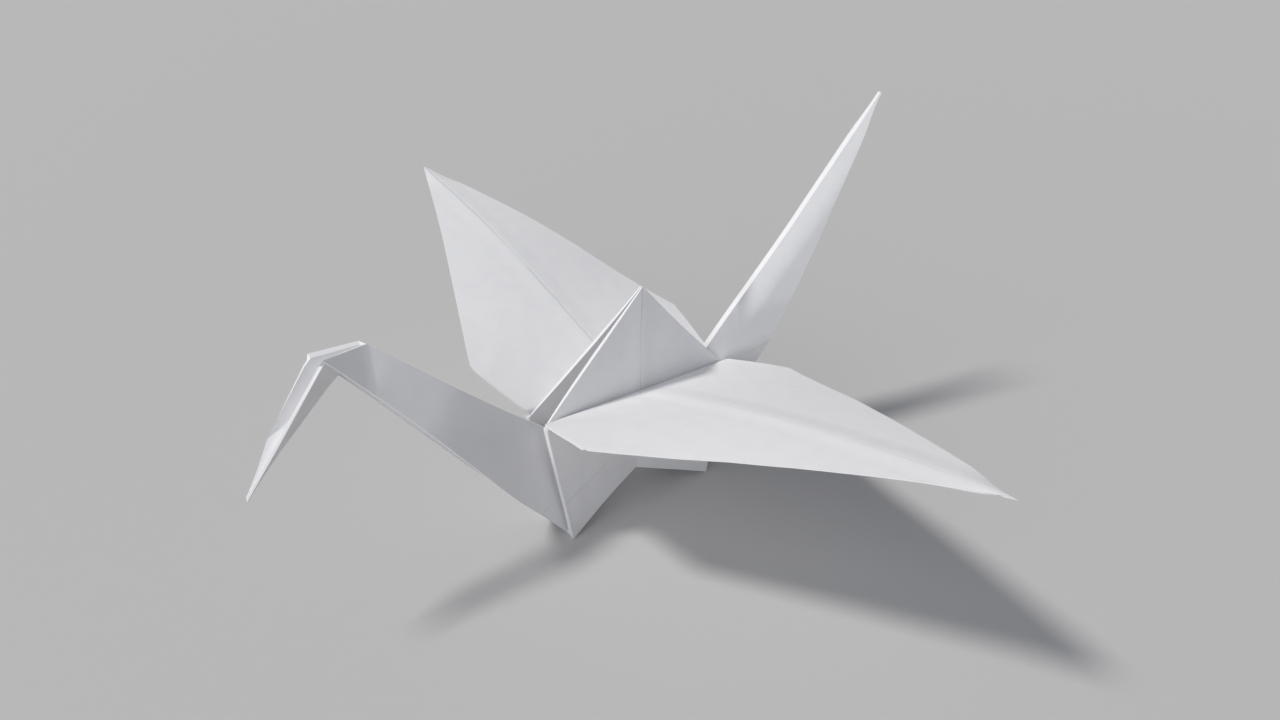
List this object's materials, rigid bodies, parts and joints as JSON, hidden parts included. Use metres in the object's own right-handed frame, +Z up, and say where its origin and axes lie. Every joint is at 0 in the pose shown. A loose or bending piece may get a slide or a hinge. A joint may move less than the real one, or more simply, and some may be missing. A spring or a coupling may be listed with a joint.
{
  "type": "origami crane",
  "caption": "Folded paper crane standing on its body corners, wings spread, neck and tail raised, head bent down",
  "frame": {"origin": "on the table plane, under the middle of the crane's extent", "axes": "+X toward the head, +Y toward the lowered wing, +Z up"},
  "size_m": [0.1508, 0.1652, 0.0806],
  "materials": {
    "white_paper": "plain uncoated white office paper, soft matt with crisp creases"
  },
  "bodies": {
    "root": {"folded_sheet": "white_paper"}
  },
  "joints": []
}
